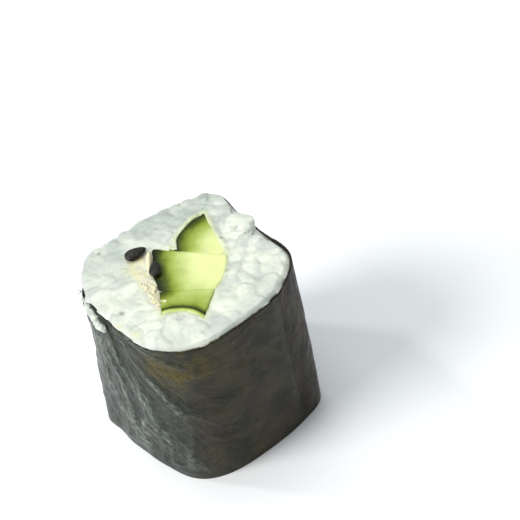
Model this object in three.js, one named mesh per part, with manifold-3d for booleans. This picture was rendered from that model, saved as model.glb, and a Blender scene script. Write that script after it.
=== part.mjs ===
// A cucumber maki roll, cut and stood on end: a sheet of nori wrapped round rice, with three
// sticks of cucumber and a few sesame seeds running up the middle.
//
// Millimetres. The origin is the middle of the foot, +Z runs up the roll, and +X and +Y are square
// to its flattened sides.

import * as THREE from "three";
import { mergeVertices } from "three/addons/utils/BufferGeometryUtils.js";
import Module from "manifold-3d";

const wasm = await Module();
wasm.setup();

// ---- driving sizes --------------------------------------------------------------------------

const HEIGHT = 30; // cut face to cut face
const HALF_X = 14.2; // the rounded square that the rolling mat leaves, at the top
const HALF_Y = 14.6;
const SQUARENESS = 3; // exponent of the superellipse: 2 is an oval, large is a square
const FOOT_SPREAD = 0.028; // the roll has settled, so its foot is this much wider
const FOOT_SHIFT = { x: -0.55, y: 0.2 }; // and it leans, its foot this far to the side

// The mat pinches the corners unevenly. `at` is a corner's direction in degrees, and `out` how
// much further it reaches than the superellipse, as a share.
const CORNERS = [
  { top: { at: 36, out: 0.126 }, foot: { at: 38, out: 0.11 } },
  { top: { at: 119, out: 0.06 }, foot: { at: 145, out: 0.09 } },
  { top: { at: 226, out: -0.015 }, foot: { at: 207, out: -0.025 } },
  { top: { at: 328, out: 0.068 }, foot: { at: 315, out: 0.07 } },
];
const CORNER_WIDTH = 12; // degrees over which a pinch fades

const NORI = 0.3; // thickness of the damp sheet
const NORI_TOP = HEIGHT - 0.6; // the sheet stops just under the rice
const LAP_START = THREE.MathUtils.degToRad(138); // where the sheet's outer end begins to overlap
const LAP_END = THREE.MathUtils.degToRad(174); // and where it stops, on the -X side
const LAP_DROP = 1.2; // the outer end lies this much lower, and rice is squeezed out over it
const FLARE = { out: 0.6, height: 7 }; // the rice also pushes its top this far out, over this height
const FOLD = 0.07; // how far the damp sheet's soft folds stand in and out
const GAP = 0.3; // between neighbouring pieces
const WALL_STEPS = 6; // rings of points up a wall, so that it can follow the corners

const GRAIN = { length: 6.0, width: 2.8, depth: 2.5 }; // a cooked short grain
const SEED = { length: 3.4, width: 1.9, depth: 1.0 }; // a sesame seed

// ---- plan of the roll -----------------------------------------------------------------------

// How much the corners stretch the plan in the direction `angle`: `low` is 0 at the top of the
// roll and 1 at its foot.
function pinch(angle, low) {
  let stretch = 1;
  for (const { top, foot } of CORNERS) {
    const at = THREE.MathUtils.lerp(top.at, foot.at, low);
    const out = THREE.MathUtils.lerp(top.out, foot.out, low);
    const away = THREE.MathUtils.euclideanModulo(angle * THREE.MathUtils.RAD2DEG - at + 180, 360) - 180;
    stretch += out * Math.exp(-((away / CORNER_WIDTH) ** 2));
  }
  return stretch;
}

// Distance from the axis to the wrap's inner face grown by `grow`, at the top of the roll.
function planRadius(angle, grow = 0) {
  const x = Math.abs(Math.cos(angle) / (HALF_X - NORI + grow)) ** SQUARENESS;
  const y = Math.abs(Math.sin(angle) / (HALF_Y - NORI + grow)) ** SQUARENESS;
  return (x + y) ** (-1 / SQUARENESS) * pinch(angle, 0);
}

// Moves the points of an upright prism to where the slumped roll has them: out with the foot's
// spread and lean, and near the wall with the corners, which wander on the way down.
function settle(geometry) {
  const p = geometry.attributes.position;
  for (let i = 0; i < p.count; i++) {
    const [x, y] = [p.getX(i), p.getY(i)];
    const angle = Math.atan2(y, x);
    const low = 1 - p.getZ(i) / HEIGHT;
    const outside = THREE.MathUtils.smoothstep(Math.hypot(x, y) / planRadius(angle), 0.5, 0.9);
    const corner = THREE.MathUtils.lerp(1, pinch(angle, low) / pinch(angle, 0), outside);
    const scale = corner * (1 + FOOT_SPREAD * low);
    p.setXY(i, x * scale + FOOT_SHIFT.x * low, y * scale + FOOT_SHIFT.y * low);
  }
  return geometry;
}

// A closed ring of plan points, evenly stepped in angle.
function ring(grow, steps = 72) {
  return Array.from({ length: steps }, (_, i) => {
    const angle = (i / steps) * 2 * Math.PI;
    const reach = planRadius(angle, grow);
    return new THREE.Vector2(reach * Math.cos(angle), reach * Math.sin(angle));
  });
}

// An upright prism from z = low to z = high.
function prism(shape, low, high, steps = 1) {
  const made = new THREE.ExtrudeGeometry(shape, {
    depth: high - low,
    steps,
    bevelEnabled: false,
  });
  return made.translate(0, 0, low);
}

// ---- solids ---------------------------------------------------------------------------------

function solid(geometry) {
  const bare = geometry.clone();
  for (const name of Object.keys(bare.attributes)) if (name !== "position") bare.deleteAttribute(name);
  const merged = mergeVertices(bare, 1e-4);
  return new wasm.Manifold(
    new wasm.Mesh({
      numProp: 3,
      vertProperties: new Float32Array(merged.attributes.position.array),
      triVerts: new Uint32Array(merged.index.array),
    }),
  );
}

function geometryOf(manifold) {
  const mesh = manifold.getMesh();
  return new THREE.BufferGeometry()
    .setAttribute("position", new THREE.BufferAttribute(new Float32Array(mesh.vertProperties), 3))
    .setIndex(new THREE.BufferAttribute(new Uint32Array(mesh.triVerts), 1));
}

const roll = new THREE.Group();

function add(name, geometry, material) {
  const mesh = new THREE.Mesh(geometry, material);
  mesh.name = name;
  roll.add(mesh);
  return mesh;
}

// ---- nori: one sheet, lapped over itself ----------------------------------------------------

// The damp sheet's folds slant round the wall, and flatten out at the rim and the foot.
function drape(angle, z) {
  const slanted = Math.sin(5 * angle + z * 0.42) + Math.sin(9 * angle - z * 0.27 + 1.3);
  const up = THREE.MathUtils.clamp(z / NORI_TOP, 0, 1);
  return FOLD * slanted * Math.sin(Math.PI * up) ** 0.5;
}

// The outer end of the sheet stands away from the layer below towards its top.
function flare(angle, z) {
  const round = (angle - LAP_START) / (LAP_END - LAP_START);
  if (round <= 0 || round >= 1) return 0;
  const up = THREE.MathUtils.smoothstep(z, NORI_TOP - LAP_DROP - FLARE.height, NORI_TOP - LAP_DROP);
  return FLARE.out * up * Math.sin(Math.PI * round);
}

// Moves a wall's outer points in and out with the folds, and leaves its inner ones.
function folded(wall) {
  const p = wall.attributes.position;
  for (let i = 0; i < p.count; i++) {
    const angle = Math.atan2(p.getY(i), p.getX(i));
    const reach = Math.hypot(p.getX(i), p.getY(i));
    const inner = planRadius(angle);
    const outside = THREE.MathUtils.smoothstep(reach, inner, inner + NORI);
    const outermost = THREE.MathUtils.smoothstep(reach, inner + NORI, inner + 1.8 * NORI);
    const move = outside * drape(angle, p.getZ(i)) + outermost * flare(angle, p.getZ(i));
    const out = 1 + move / reach;
    p.setXY(i, p.getX(i) * out, p.getY(i) * out);
  }
  return wall;
}

// The outer end of the sheet: a band that thins to nothing where it leaves the layer below.
function lapShape() {
  const steps = 14;
  const outer = [];
  const inner = [];
  for (let i = 0; i <= steps; i++) {
    const angle = THREE.MathUtils.lerp(LAP_START, LAP_END, i / steps);
    const climb = THREE.MathUtils.smoothstep(i / steps, 0, 0.35);
    const at = (reach) => new THREE.Vector2(reach * Math.cos(angle), reach * Math.sin(angle));
    outer.push(at(planRadius(angle, NORI * (0.9 + 1.1 * climb))));
    inner.unshift(at(planRadius(angle, NORI * 0.5)));
  }
  return new THREE.Shape([...outer, ...inner]);
}

function noriGeometry() {
  const wall = new THREE.Shape(ring(NORI));
  wall.holes.push(new THREE.Path(ring(0)));
  const sheet = solid(settle(folded(prism(wall, 0, NORI_TOP, WALL_STEPS))));
  const lap = solid(settle(folded(prism(lapShape(), 0, NORI_TOP - LAP_DROP, WALL_STEPS))));
  return geometryOf(sheet.add(lap));
}

// ---- cucumber: three sticks cut lengthwise, each with skin on one side -----------------------

const points = (...pairs) => pairs.map(([x, y]) => new THREE.Vector2(x, y));

// A stick's cross-section: straight cuts through `cuts`, then back along the bowed skin side.
function stickShape(cuts, skin) {
  const shape = new THREE.Shape();
  shape.moveTo(cuts[0].x, cuts[0].y);
  for (const p of cuts.slice(1)) shape.lineTo(p.x, p.y);
  const [first, second] = skin;
  if (second) shape.bezierCurveTo(first.x, first.y, second.x, second.y, cuts[0].x, cuts[0].y);
  else shape.quadraticCurveTo(first.x, first.y, cuts[0].x, cuts[0].y);
  return shape;
}

const STICKS = [
  {
    name: "cucumber_wedge",
    top: HEIGHT - 0.1,
    cuts: points([10.2, 8.3], [8.7, 3.4], [7.1, -1.5], [2.1, 4.9]),
    skin: points([2.8, 7.2], [5.3, 8.5]),
    green: 0x9fb559,
  },
  {
    name: "cucumber_square",
    top: HEIGHT + 0.05,
    cuts: points([-0.4, 7.5], [6.8, -1.9], [4.6, -4.8], [1.5, -6.0], [-4.8, -0.2]),
    skin: points([-3.6, 3.6]),
    green: 0xd9e6a4,
  },
  {
    name: "cucumber_strip",
    top: HEIGHT - 0.1,
    cuts: points([-7.3, -4.6], [-4.9, -0.7], [1.0, -6.2], [-3.4, -9.4]),
    skin: points([-3.8, -5.6]),
    green: 0xa3ae5a,
  },
];

// The same cross-section grown by `grow` all round, for the hole that the rice leaves.
function grownPrism(shape, grow, low, high) {
  const outline = shape.getPoints(6).slice(0, -1);
  if (THREE.ShapeUtils.isClockWise(outline)) outline.reverse();
  const grown = outline.map((p, i) => {
    const before = outline.at(i - 1);
    const after = outline[(i + 1) % outline.length];
    const a = new THREE.Vector2(p.y - before.y, before.x - p.x).normalize();
    const b = new THREE.Vector2(after.y - p.y, p.x - after.x).normalize();
    const miter = a.clone().add(b).normalize();
    return p.clone().addScaledVector(miter, Math.min(grow / miter.dot(a), 2 * grow));
  });
  return prism(new THREE.Shape(grown), low, high);
}

// ---- rice: a core, with the grains of both cut faces fused on --------------------------------

// Repeatable spread-out numbers from 0 to 1: multiples of an irrational step, wrapped.
const PLASTIC = 1.3247179572;
const spread = (n, step) => (0.5 + n * step) % 1;

// A blunt-ended grain of few sides, lying along X.
function grainGeometry({ length, width, depth }) {
  const grain = new THREE.OctahedronGeometry(1, 1);
  const p = grain.attributes.position;
  for (let i = 0; i < p.count; i++) p.setX(i, Math.sign(p.getX(i)) * Math.abs(p.getX(i)) ** 0.6);
  return grain.scale(length / 2, width / 2, depth / 2);
}

function placed(size, { x, y, z, heading, pitch = 0, bank = 0 }) {
  const turn = new THREE.Matrix4().makeRotationFromEuler(new THREE.Euler(bank, pitch, heading, "ZYX"));
  return grainGeometry(size).applyMatrix4(turn).translate(x, y, z);
}

const TOP_TRIES = 74; // grains tried over the square round the face: those off the rice are dropped
const FOOT_TRIES = 36;
const RIM_GRAINS = 28; // set round the edge, pointing out over it

function faceGrains(tries, level, way) {
  const grains = [];
  for (let n = 1; n <= tries; n++) {
    const x = (spread(n, 1 / PLASTIC) - 0.5) * 2 * HALF_X;
    const y = (spread(n, 1 / PLASTIC ** 2) - 0.5) * 2 * HALF_Y;
    if (Math.hypot(x, y) > planRadius(Math.atan2(y, x)) - GRAIN.width * 0.5) continue;
    grains.push({
      x: x,
      y: y,
      z: level - way * (GRAIN.depth * 0.5 + 0.6 * (spread(n, 0.7321) - 0.5)),
      heading: Math.PI * spread(n, 0.6180339887),
      pitch: 0.5 * (spread(n, 0.4142135623) - 0.5),
      bank: 1.2 * (spread(n, 0.2360679775) - 0.5),
    });
  }
  return grains;
}

function rimGrains() {
  return Array.from({ length: RIM_GRAINS }, (_, n) => {
    const angle = ((n + 0.5 * spread(n, 0.7548)) / RIM_GRAINS) * 2 * Math.PI;
    const reach = planRadius(angle) - GRAIN.length * (0.42 + 0.14 * spread(n, 0.5698));
    return {
      x: reach * Math.cos(angle),
      y: reach * Math.sin(angle),
      z: HEIGHT - 0.85 + 0.5 * spread(n, 0.8192),
      heading: angle + 0.9 * (spread(n, 0.3247) - 0.5),
      pitch: -0.2 * spread(n, 0.6823),
    };
  });
}

// A plump grain that stands proud of the +X edge, and two that lie over the strip's bowed skin.
const PROUD_GRAINS = [
  { x: 12.0, y: 2.2, z: HEIGHT - 0.3, heading: 0.2, pitch: -0.2 },
  { x: -8.0, y: -7.2, z: HEIGHT - 0.5, heading: 3.86 },
  { x: -6.0, y: -9.5, z: HEIGHT - 0.5, heading: 3.86 },
];

// Bits of rice squeezed out over the lap: angle round the roll, in degrees, and length.
const SQUEEZED = [
  { at: 142, length: 2.4 },
  { at: 151, length: 2.6 },
  { at: 159, length: 3.0 },
  { at: 168, length: 3.6 },
];

function squeezedGrains() {
  return SQUEEZED.map(({ at, length }) => {
    const angle = THREE.MathUtils.degToRad(at);
    const reach = planRadius(angle);
    const size = { length: length, width: length * 0.7, depth: LAP_DROP * 2 };
    const spot = { x: reach * Math.cos(angle), y: reach * Math.sin(angle), heading: angle };
    return placed(size, { ...spot, z: NORI_TOP - LAP_DROP * 0.2 });
  });
}

// Sesame lies along the cucumber's open side. Angles are in radians, round Z.
const SEEDS = [
  { x: -3.1, y: 8.9, heading: 0.05 },
  { x: -4.3, y: 4.7, heading: 0.8 },
  { x: -5.7, y: 6.8, heading: 2.3 },
  { x: -6.1, y: 2.6, heading: 1.9 },
  { x: -6.7, y: 0.1, heading: 1.4 },
  { x: -7.0, y: -2.2, heading: 1.7 },
];

function riceGeometry() {
  const all = [
    ...faceGrains(TOP_TRIES, HEIGHT + 0.15, 1),
    ...rimGrains(),
    ...PROUD_GRAINS,
    ...faceGrains(FOOT_TRIES, -0.25, -1),
  ];
  const settled = (geometry) => solid(settle(geometry));
  const block = (plan, low, high) => settled(prism(plan, low, high, WALL_STEPS));
  const grains = all.map((g) => settled(placed(GRAIN, g)));
  const squeezed = wasm.Manifold.union(squeezedGrains().map(settled));
  const seeds = SEEDS.map((s) => settled(placed(SEED, { ...s, z: HEIGHT + 0.35 })));

  const below = -2;
  const above = HEIGHT + 4;
  const core = block(new THREE.Shape(ring(-GAP * 1.5)), GRAIN.depth * 0.35, HEIGHT - GRAIN.depth * 0.45);
  const inside = block(new THREE.Shape(ring(-GAP)), 0, above);
  const overRim = block(new THREE.Shape(ring(NORI + 0.5)), NORI_TOP + GAP, above);
  const shelfShape = new THREE.Shape(ring(1.3));
  shelfShape.holes.push(new THREE.Path(ring(NORI + GAP)));
  const shelf = block(shelfShape, NORI_TOP - LAP_DROP + GAP, NORI_TOP + 2 * GAP);

  const sticks = STICKS.map((s) => settled(grownPrism(stickShape(s.cuts, s.skin), GAP, below, above)));
  const heap = wasm.Manifold.union([...grains, ...seeds]).intersect(inside.add(overRim));
  const overLap = squeezed.intersect(shelf.add(overRim));
  const cut = core.add(heap).add(overLap).subtract(wasm.Manifold.union(sticks));
  const largest = cut.decompose().sort((a, b) => b.volume() - a.volume())[0];
  return geometryOf(largest);
}

// ---- the parts ------------------------------------------------------------------------------

const damp = (color, roughness) => new THREE.MeshStandardMaterial({ color, roughness, metalness: 0 });

add("nori", noriGeometry(), damp(0x37362a, 0.55));
add("rice", riceGeometry(), damp(0xe9eee4, 0.4));
for (const stick of STICKS) {
  const body = prism(stickShape(stick.cuts, stick.skin), 0, stick.top);
  add(stick.name, settle(body), damp(stick.green, 0.3));
}

// The foot's box is centred on the origin.
const box = new THREE.Box3().setFromObject(roll, true);
const middle = box.getCenter(new THREE.Vector3());
for (const mesh of roll.children) mesh.geometry.translate(-middle.x, -middle.y, 0);

export default roll;
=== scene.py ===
# %% [markdown]
# # Cucumber maki roll
#
# A maki roll is a sheet of nori wrapped round sticky rice, with a filling in the middle, cut
# across into thick slices. This one stands on one cut face and shows the other: rice grains
# pressed together, three sticks of cucumber, and black and white sesame.
#
# Lengths are in metres, as in the rest of the frame, and sizes are written as so many MM.

import math
import random

import bmesh
import bpy
import numpy as np
from mathutils import Matrix, Vector, noise
from mathutils.bvhtree import BVHTree


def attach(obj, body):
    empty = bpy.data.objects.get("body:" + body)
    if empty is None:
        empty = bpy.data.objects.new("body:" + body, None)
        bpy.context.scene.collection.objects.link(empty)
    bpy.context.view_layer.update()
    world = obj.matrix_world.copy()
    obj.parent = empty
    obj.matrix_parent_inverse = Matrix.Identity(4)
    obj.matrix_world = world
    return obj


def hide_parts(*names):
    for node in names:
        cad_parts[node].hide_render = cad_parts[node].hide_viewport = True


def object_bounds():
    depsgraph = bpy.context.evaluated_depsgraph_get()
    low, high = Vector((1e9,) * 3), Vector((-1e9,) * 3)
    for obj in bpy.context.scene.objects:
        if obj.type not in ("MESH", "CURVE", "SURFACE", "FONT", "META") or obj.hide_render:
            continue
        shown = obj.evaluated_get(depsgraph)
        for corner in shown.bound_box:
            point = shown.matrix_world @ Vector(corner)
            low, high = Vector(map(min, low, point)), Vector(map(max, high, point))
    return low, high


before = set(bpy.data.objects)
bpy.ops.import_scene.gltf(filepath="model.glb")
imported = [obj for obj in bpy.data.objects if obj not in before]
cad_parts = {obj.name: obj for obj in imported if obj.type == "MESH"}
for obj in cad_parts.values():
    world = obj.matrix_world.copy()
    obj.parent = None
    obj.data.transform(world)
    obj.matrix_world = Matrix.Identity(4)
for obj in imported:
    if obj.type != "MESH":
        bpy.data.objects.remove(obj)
cad_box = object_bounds()
MM = 0.001
print("box of the solids, in mm:", [[round(c / MM, 2) for c in corner] for corner in cad_box])

# %% [markdown]
# ## The plan of the roll
#
# A bamboo mat presses the roll into a rounded square and pinches its corners unevenly. A
# superellipse gives that outline from two half widths and one exponent, and each corner adds a
# soft bump to it. The roll has slumped: its foot is wider than its top, its axis leans, and the
# corners wander on the way down. Every piece is shaped upright first, then settled by one rule.

# %% Plan and slump
HEIGHT = 30 * MM
HALF_X = 14.2 * MM
HALF_Y = 14.6 * MM
SQUARENESS = 3
FOOT_SPREAD = 0.028
FOOT_SHIFT = (-0.55 * MM, 0.2 * MM)
TOP_MIDDLE = Vector((0.493 * MM, -0.053 * MM, 0))  # the top's middle, from the middle of the foot's box
# Each corner's direction in degrees, and how much further out it reaches, as a share. The last
# is only a bulge at the foot.
CORNERS = [
    {"top": (36, 0.126), "foot": (38, 0.11)},
    {"top": (119, 0.06), "foot": (145, 0.09)},
    {"top": (226, -0.015), "foot": (207, -0.025)},
    {"top": (328, 0.068), "foot": (315, 0.07)},
    {"top": (168, 0.0), "foot": (169, 0.036)},
]
CORNER_WIDTH = 12  # degrees over which a corner fades

NORI = 0.3 * MM
NORI_TOP = HEIGHT - 0.6 * MM
LAP_START = math.radians(138)
LAP_END = math.radians(174)
LAP_DROP = 1.2 * MM


def ease(value, low, high):
    """Goes smoothly from 0 at low to 1 at high. Works on numbers and arrays."""
    t = np.clip((value - low) / (high - low), 0, 1)
    return t * t * (3 - 2 * t)


def fade(distance, width):
    """1 at no distance, and nearly 0 from twice the width. Works on numbers and arrays."""
    return np.exp(-((distance / width) ** 2))


def pinch(angle, low):
    """How much the corners stretch the plan. low is 0 at the roll's top and 1 at its foot."""
    stretch = 1.0
    for corner in CORNERS:
        at = corner["top"][0] + (corner["foot"][0] - corner["top"][0]) * low
        out = corner["top"][1] + (corner["foot"][1] - corner["top"][1]) * low
        away = (np.degrees(angle) - at + 180) % 360 - 180
        stretch = stretch + out * fade(away, CORNER_WIDTH)
    return stretch


def plan_radius(angle, grow=0.0):
    """Distance from the axis to the wrap's inner face at the top, grown by a length."""
    x = np.abs(np.cos(angle) / (HALF_X - NORI + grow)) ** SQUARENESS
    y = np.abs(np.sin(angle) / (HALF_Y - NORI + grow)) ** SQUARENESS
    return (x + y) ** (-1 / SQUARENESS) * pinch(angle, 0)


def plan_point(angle, grow, z):
    reach = float(plan_radius(angle, grow))
    return Vector((reach * math.cos(angle), reach * math.sin(angle), z))


def settle(points):
    """Moves an upright shape's points, an array of rows, to where the slumped roll has them."""
    low = 1 - points[:, 2] / HEIGHT
    angle = np.arctan2(points[:, 1], points[:, 0])
    outside = ease(np.hypot(points[:, 0], points[:, 1]) / plan_radius(angle), 0.5, 0.9)
    corner = 1 + outside * (pinch(angle, low) / pinch(angle, 0) - 1)
    scale = corner * (1 + FOOT_SPREAD * low)
    settled = points.copy()
    settled[:, 0] = points[:, 0] * scale + FOOT_SHIFT[0] * low + TOP_MIDDLE.x
    settled[:, 1] = points[:, 1] * scale + FOOT_SHIFT[1] * low + TOP_MIDDLE.y
    return settled


def unsettle(points):
    """Stands a settled shape upright again, by correcting a guess a few times."""
    upright = points.copy()
    for _ in range(6):
        upright += points - settle(upright)
    return upright


round_angles = np.linspace(0, 2 * math.pi, 361)
directions = np.stack([np.cos(round_angles), np.sin(round_angles)], axis=1)
outline = plan_radius(round_angles, NORI)[:, None] * directions
run_round = np.concatenate([[0], np.cumsum(np.linalg.norm(np.diff(outline, axis=0), axis=1))])
girth = run_round[-1]
print("girth of the roll at the top, in mm:", round(girth / MM, 1))

# %% [markdown]
# ## Small tools
#
# Each piece is made as a bmesh, which then becomes an object in the scene. Where a modifier does
# the shaping, its result replaces the mesh, so that later steps can read the finished points.
# Points are read and written as one array, which is far quicker than one by one.

# %% Helpers for meshes
scene = bpy.context.scene
PRISM_SIDES = 180


def object_from(bm, name):
    """Turns a bmesh into an object and frees the bmesh."""
    mesh = bpy.data.meshes.new(name)
    bm.to_mesh(mesh)
    bm.free()
    made = bpy.data.objects.new(name, mesh)
    scene.collection.objects.link(made)
    return made


def apply_modifiers(piece):
    graph = bpy.context.evaluated_depsgraph_get()
    shaped = bpy.data.meshes.new_from_object(piece.evaluated_get(graph))
    piece.modifiers.clear()
    piece.data = shaped
    shaped.name = piece.name
    return piece


def read_points(mesh):
    flat = np.empty(len(mesh.vertices) * 3, dtype=np.float32)
    mesh.vertices.foreach_get("co", flat)
    return flat.reshape(-1, 3).astype(float)


def write_points(mesh, points):
    mesh.vertices.foreach_set("co", points.astype(np.float32).ravel())
    mesh.update()


def noise_at(points, scale, shift=(0, 0, 0)):
    """Noise at each point: scale is in blobs to the metre, and shift picks another pattern."""
    shift = Vector(shift)
    return np.array([noise.noise(Vector(p) * scale + shift) for p in points])


def polar(points):
    """Each point's direction and distance from the axis, seen from above."""
    return np.arctan2(points[:, 1], points[:, 0]), np.hypot(points[:, 0], points[:, 1])


def plan_distance(points, x, y):
    """How far points are, seen from above, from a place given in mm."""
    return np.hypot(points[:, 0] - x * MM, points[:, 1] - y * MM)


def paint(mesh, name, values):
    """Stores one number for each point, for a material to read."""
    layer = mesh.attributes.new(name, "FLOAT", "POINT")
    layer.data.foreach_set("value", np.asarray(values, dtype=np.float32))


def smooth_shaded(piece):
    piece.data.polygons.foreach_set("use_smooth", [True] * len(piece.data.polygons))
    return piece


def stick_solid(name):
    """A copy of a stick's plain solid, with its loose triangles joined up."""
    bm = bmesh.new()
    bm.from_mesh(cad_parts["cucumber_" + name].data)
    bmesh.ops.remove_doubles(bm, verts=bm.verts[:], dist=0.001 * MM)
    return bm


def fuse(piece, voxel, smoothing):
    """Draws one skin over all that a piece holds, and softens it."""
    voxels = piece.modifiers.new("voxels", "REMESH")
    voxels.mode = "VOXEL"
    voxels.voxel_size = voxel
    softened = piece.modifiers.new("softened", "SMOOTH")
    softened.iterations = smoothing
    return apply_modifiers(piece)


def joins_roll(piece, node):
    """Puts a finished piece in place of the plain solid that it stands for."""
    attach(piece, "root")
    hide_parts(node)
    print(piece.name, "has", sum(len(f.vertices) - 2 for f in piece.data.polygons), "triangles")


def plan_prism(grow, low, high):
    """An upright block with the roll's plan, from one height to another. grow says how much
    wider than the wrap's inner face it is, in any direction."""
    bm = bmesh.new()
    bmesh.ops.create_circle(bm, cap_ends=True, segments=PRISM_SIDES, radius=1)
    for v in bm.verts:
        angle = math.atan2(v.co.y, v.co.x)
        v.co = plan_point(angle, grow(angle), low)
    lid = bmesh.ops.extrude_face_region(bm, geom=bm.faces[:])
    risen = [e for e in lid["geom"] if isinstance(e, bmesh.types.BMVert)]
    bmesh.ops.translate(bm, verts=risen, vec=(0, 0, high - low))
    bmesh.ops.recalc_face_normals(bm, faces=bm.faces[:])
    return bm


# %% Helpers for materials
def new_finish(name):
    """A fresh material, with its node tree and its main shader."""
    finish = bpy.data.materials.new(name)
    finish.use_nodes = True
    tree = finish.node_tree
    return finish, tree, tree.nodes["Principled BSDF"]


def node(tree, kind, **settings):
    made = tree.nodes.new(kind)
    for name, value in settings.items():
        setattr(made, name, value)
    return made


def noise_over(tree, coords, scale, detail=4, roughness=0.55, stretch=(1, 1, 1)):
    """Noise on the piece's own coordinates: scale is in blobs to the metre."""
    mapping = node(tree, "ShaderNodeMapping")
    mapping.inputs["Scale"].default_value = stretch
    tree.links.new(coords, mapping.inputs["Vector"])
    blobs = node(tree, "ShaderNodeTexNoise")
    blobs.inputs["Scale"].default_value = scale
    blobs.inputs["Detail"].default_value = detail
    blobs.inputs["Roughness"].default_value = roughness
    tree.links.new(mapping.outputs["Vector"], blobs.inputs["Vector"])
    return blobs.outputs["Fac"]


def remap(tree, value, low, high, new_low=0.0, new_high=1.0):
    ranged = node(tree, "ShaderNodeMapRange", interpolation_type="SMOOTHSTEP")
    for name, number in zip(("From Min", "From Max", "To Min", "To Max"), (low, high, new_low, new_high)):
        ranged.inputs[name].default_value = number
    tree.links.new(value, ranged.inputs["Value"])
    return ranged.outputs["Result"]


def blend_colour(tree, factor, first, second):
    """Mixes two colours. Each is a colour or another node's output."""
    mix = node(tree, "ShaderNodeMix", data_type="RGBA")
    tree.links.new(factor, mix.inputs["Factor"])
    for socket, colour in ((mix.inputs[6], first), (mix.inputs[7], second)):
        if isinstance(colour, tuple):
            socket.default_value = (*colour, 1)
        else:
            tree.links.new(colour, socket)
    return mix.outputs[2]


def calculate(tree, operation, first, second=0.0):
    maths = node(tree, "ShaderNodeMath", operation=operation)
    for socket, value in ((maths.inputs[0], first), (maths.inputs[1], second)):
        if isinstance(value, (int, float)):
            socket.default_value = value
        else:
            tree.links.new(value, socket)
    return maths.outputs[0]


def times(tree, first, second):
    return calculate(tree, "MULTIPLY", first, second)


def bump(tree, height, distance, strength=1.0, under=None):
    bumped = node(tree, "ShaderNodeBump")
    bumped.inputs["Distance"].default_value = distance
    bumped.inputs["Strength"].default_value = strength
    tree.links.new(height, bumped.inputs["Height"])
    if under is not None:
        tree.links.new(under, bumped.inputs["Normal"])
    return bumped.outputs["Normal"]


def own_place(tree):
    return node(tree, "ShaderNodeTexCoord").outputs["Object"]


def painted(tree, name):
    return node(tree, "ShaderNodeAttribute", attribute_name=name).outputs["Fac"]


# %% [markdown]
# ## Camera, light and floor
#
# The camera looks down at half a right angle on the front corner of the roll, from far enough
# that its upright edges draw together only slightly, and it is rolled so that the roll leans.
# A wide soft light on the left stands for a window. A small one behind the roll adds glints, a
# large one overhead stands for a ceiling, and a pale sky fills the shadows. The floor is a plain
# white table.

# %% Camera
FRAME_SIZE = 520
AIM = Vector((0.807, -0.221, 30)) * MM  # a point on the cut face
AIM_PIXEL = (186, 272)  # where that point falls in the frame
AZIMUTH = math.radians(-29)
ELEVATION = math.radians(45)
CAMERA_ROLL = math.radians(-13)
CAMERA_DISTANCE = 290.6 * MM
FOCAL_PIXELS = 1891
SENSOR = 36.0

back = Vector(
    (
        math.sin(AZIMUTH) * math.cos(ELEVATION),
        -math.cos(AZIMUTH) * math.cos(ELEVATION),
        math.sin(ELEVATION),
    )
)
level_right = Vector((math.cos(AZIMUTH), math.sin(AZIMUTH), 0))
level_up = back.cross(level_right)
right = level_right * math.cos(CAMERA_ROLL) + level_up * math.sin(CAMERA_ROLL)
up = level_up * math.cos(CAMERA_ROLL) - level_right * math.sin(CAMERA_ROLL)
across = (AIM_PIXEL[0] - FRAME_SIZE / 2) / FOCAL_PIXELS
rise = (FRAME_SIZE / 2 - AIM_PIXEL[1]) / FOCAL_PIXELS

camera = bpy.data.objects.new("camera", bpy.data.cameras.new("camera"))
scene.collection.objects.link(camera)
camera.data.sensor_width = SENSOR
camera.data.lens = FOCAL_PIXELS / FRAME_SIZE * SENSOR
camera.data.clip_start = 0.01
camera.matrix_world = Matrix((right, up, back)).transposed().to_4x4()
camera.location = AIM + (back - right * across - up * rise) * CAMERA_DISTANCE
scene.camera = camera
print("camera at, in mm:", [round(c / MM) for c in camera.location])

# %% Light and floor
scene.view_settings.view_transform = "Standard"


def soft_light(name, place, size, power, colour):
    """A square area light that faces the middle of the roll."""
    lamp = bpy.data.lights.new(name, "AREA")
    lamp.shape = "DISK"
    lamp.size = size
    lamp.energy = power
    lamp.color = colour
    made = bpy.data.objects.new(name, lamp)
    made.location = place
    made.rotation_euler = (made.location - Vector((0, 0, HEIGHT / 2))).to_track_quat("Z", "Y").to_euler()
    scene.collection.objects.link(made)


soft_light("window", (-0.42, 0.10, 0.36), 0.30, 2.8, (1.0, 1.0, 0.98))
soft_light("glint", (-0.20, 0.30, 0.42), 0.05, 0.42, (1.0, 1.0, 1.0))
soft_light("ceiling", (0.10, 0.25, 0.60), 0.5, 1.5, (0.94, 0.98, 1.0))

sky = bpy.data.worlds.new("pale sky")
scene.world = sky
sky.use_nodes = True
sky.node_tree.nodes["Background"].inputs["Color"].default_value = (0.90, 0.96, 1.0, 1)
sky.node_tree.nodes["Background"].inputs["Strength"].default_value = 0.42

bm = bmesh.new()
bmesh.ops.create_grid(bm, x_segments=1, y_segments=1, size=1.5)
floor = object_from(bm, "floor")
floor_finish, tree, shader = new_finish("white table")
shader.inputs["Base Color"].default_value = (0.97, 0.975, 0.98, 1)
shader.inputs["Roughness"].default_value = 0.6
floor.data.materials.append(floor_finish)

# %% [markdown]
# ## Nori
#
# Nori is one thin sheet of pressed seaweed. It starts under its own outer end, goes once round
# the rice and laps over its start. So it is modelled as that: a flat grid, with one side along
# the girth and the other up the roll, bent round the plan. Damp nori shrinks on to the rice and
# creases. Where it is pinched, as at the top of the lap, creases fan out from that point: close
# together and upright below it, and nearly level by the time they reach the next side.

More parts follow.
